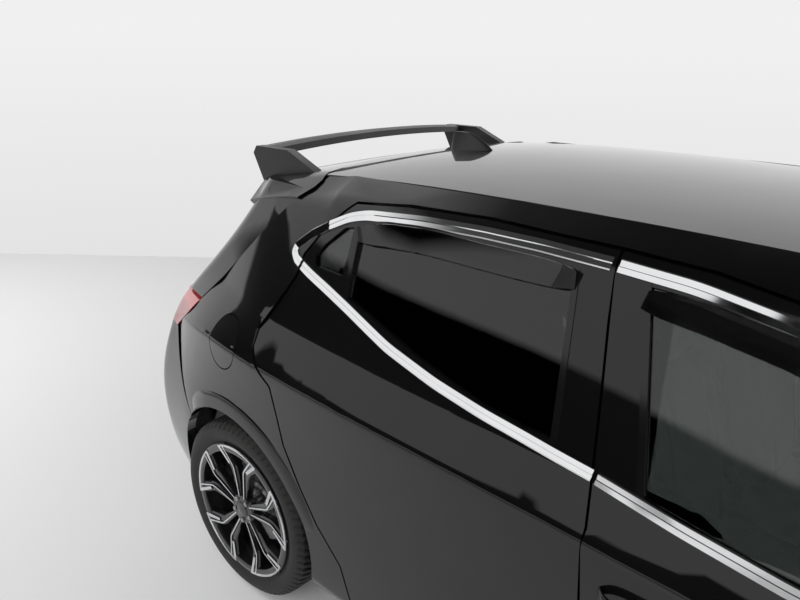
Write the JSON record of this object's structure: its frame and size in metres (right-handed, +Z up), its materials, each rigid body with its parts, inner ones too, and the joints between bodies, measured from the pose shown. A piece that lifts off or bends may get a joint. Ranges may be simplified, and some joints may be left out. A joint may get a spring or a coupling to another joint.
{
  "type": "five-door hatchback car",
  "caption": "Small five-door family hatchback with roof spoiler, chrome window line and double-spoke alloy wheels; doors, bonnet, tailgate, steering and wheels move.",
  "frame": {"origin": "on the ground below the middle of the car's length and width", "axes": "+X towards the front, +Y to the car's left, +Z up"},
  "size_m": [4.0486, 1.988, 1.474],
  "materials": {
    "paint": "gloss",
    "glass": "clear tinted",
    "tyre": "matt",
    "alloy": "machined and gloss black",
    "lamp_red": "gloss",
    "lamp_clear": "clear gloss",
    "black_plastic": "satin",
    "gloss_black": "gloss",
    "seat": "woven",
    "steel": "plain",
    "iron": "rough"
  },
  "bodies": {
    "body": {"platform": "steel", "body_side_right": "paint", "body_side_left": "paint", "wing_right": "paint", "wing_left": "paint", "roof": "paint", "windscreen": "glass", "rear_bumper": "paint", "tail_lamps": "lamp_red", "front_bumper": "paint", "headlamps": "lamp_clear", "grille": "black_plastic", "scuttle": "black_plastic", "engine": "iron", "exhaust": "steel", "front_frame": "steel", "struts": "steel", "rear_beam": "steel", "front_seats": "seat", "rear_bench": "seat", "dashboard": "black_plastic", "aerial_fin": "gloss_black"},
    "front_door_right": {"front_door_right": "paint", "front_glass_right": "glass", "mirror_right": "gloss_black"},
    "front_door_left": {"front_door_left": "paint", "front_glass_left": "glass", "mirror_left": "gloss_black"},
    "rear_door_right": {"rear_door_right": "paint", "rear_glasses_right": "glass"},
    "rear_door_left": {"rear_door_left": "paint", "rear_glasses_left": "glass"},
    "bonnet": {"bonnet": "paint"},
    "tailgate": {"tailgate": "paint", "rear_screen": "glass", "spoiler": "black_plastic"},
    "fuel_flap": {"fuel_flap": "paint"},
    "steering_wheel": {"steering_wheel": "black_plastic"},
    "knuckle_right": {"knuckle_right": "iron"},
    "knuckle_left": {"knuckle_left": "iron"},
    "wheel_front_right": {"rim_front_right": "alloy", "tyre_front_right": "tyre"},
    "wheel_front_left": {"rim_front_left": "alloy", "tyre_front_left": "tyre"},
    "wheel_rear_right": {"rim_rear_right": "alloy", "tyre_rear_right": "tyre"},
    "wheel_rear_left": {"rim_rear_left": "alloy", "tyre_rear_left": "tyre"}
  },
  "joints": [
    {"name": "front_door_right_hinge", "type": "hinge", "parent": "body", "child": "front_door_right", "pos_m": [0.767, -0.8845, 0.6], "axis": [0, 0, 1], "range_deg": [0, 65]},
    {"name": "front_door_left_hinge", "type": "hinge", "parent": "body", "child": "front_door_left", "pos_m": [0.767, 0.8845, 0.6], "axis": [0, 0, -1], "range_deg": [0, 65]},
    {"name": "rear_door_right_hinge", "type": "hinge", "parent": "body", "child": "rear_door_right", "pos_m": [-0.205, -0.8845, 0.6], "axis": [0, 0, 1], "range_deg": [0, 65]},
    {"name": "rear_door_left_hinge", "type": "hinge", "parent": "body", "child": "rear_door_left", "pos_m": [-0.205, 0.8845, 0.6], "axis": [0, 0, -1], "range_deg": [0, 65]},
    {"name": "bonnet_hinge", "type": "hinge", "parent": "body", "child": "bonnet", "pos_m": [0.965, 0, 0.99], "axis": [0, -1, 0], "range_deg": [0, 52]},
    {"name": "tailgate_hinge", "type": "hinge", "parent": "body", "child": "tailgate", "pos_m": [-1.266, 0, 1.4], "axis": [0, 1, 0], "range_deg": [0, 78]},
    {"name": "fuel_flap_hinge", "type": "hinge", "parent": "body", "child": "fuel_flap", "pos_m": [-1.353, -0.866, 0.89], "axis": [0, 0, 1], "range_deg": [0, 105]},
    {"name": "steering_left", "type": "hinge", "parent": "body", "child": "knuckle_left", "pos_m": [1.195, 0.725, 0.308], "axis": [0, 0, 1], "range_deg": [-33, 33]},
    {"name": "steering_right", "type": "hinge", "parent": "body", "child": "knuckle_right", "pos_m": [1.195, -0.725, 0.308], "axis": [0, 0, 1], "range_deg": [-33, 33]},
    {"name": "steering_wheel_turn", "type": "hinge", "parent": "body", "child": "steering_wheel", "pos_m": [0.33, 0.37, 0.845], "axis": [-0.9308, 0, 0.3657], "range_deg": [-500, 500]},
    {"name": "wheel_front_left_spin", "type": "hinge", "parent": "knuckle_left", "child": "wheel_front_left", "pos_m": [1.195, 0.755, 0.308], "axis": [0, 1, 0], "continuous": true},
    {"name": "wheel_front_right_spin", "type": "hinge", "parent": "knuckle_right", "child": "wheel_front_right", "pos_m": [1.195, -0.755, 0.308], "axis": [0, 1, 0], "continuous": true},
    {"name": "wheel_rear_left_spin", "type": "hinge", "parent": "body", "child": "wheel_rear_left", "pos_m": [-1.388, 0.755, 0.308], "axis": [0, 1, 0], "continuous": true},
    {"name": "wheel_rear_right_spin", "type": "hinge", "parent": "body", "child": "wheel_rear_right", "pos_m": [-1.388, -0.755, 0.308], "axis": [0, 1, 0], "continuous": true}
  ],
  "couplings": [
    {"joint": "steering_right", "follows": "steering_left", "ratio": 1},
    {"joint": "steering_wheel_turn", "follows": "steering_left", "ratio": 15}
  ]
}
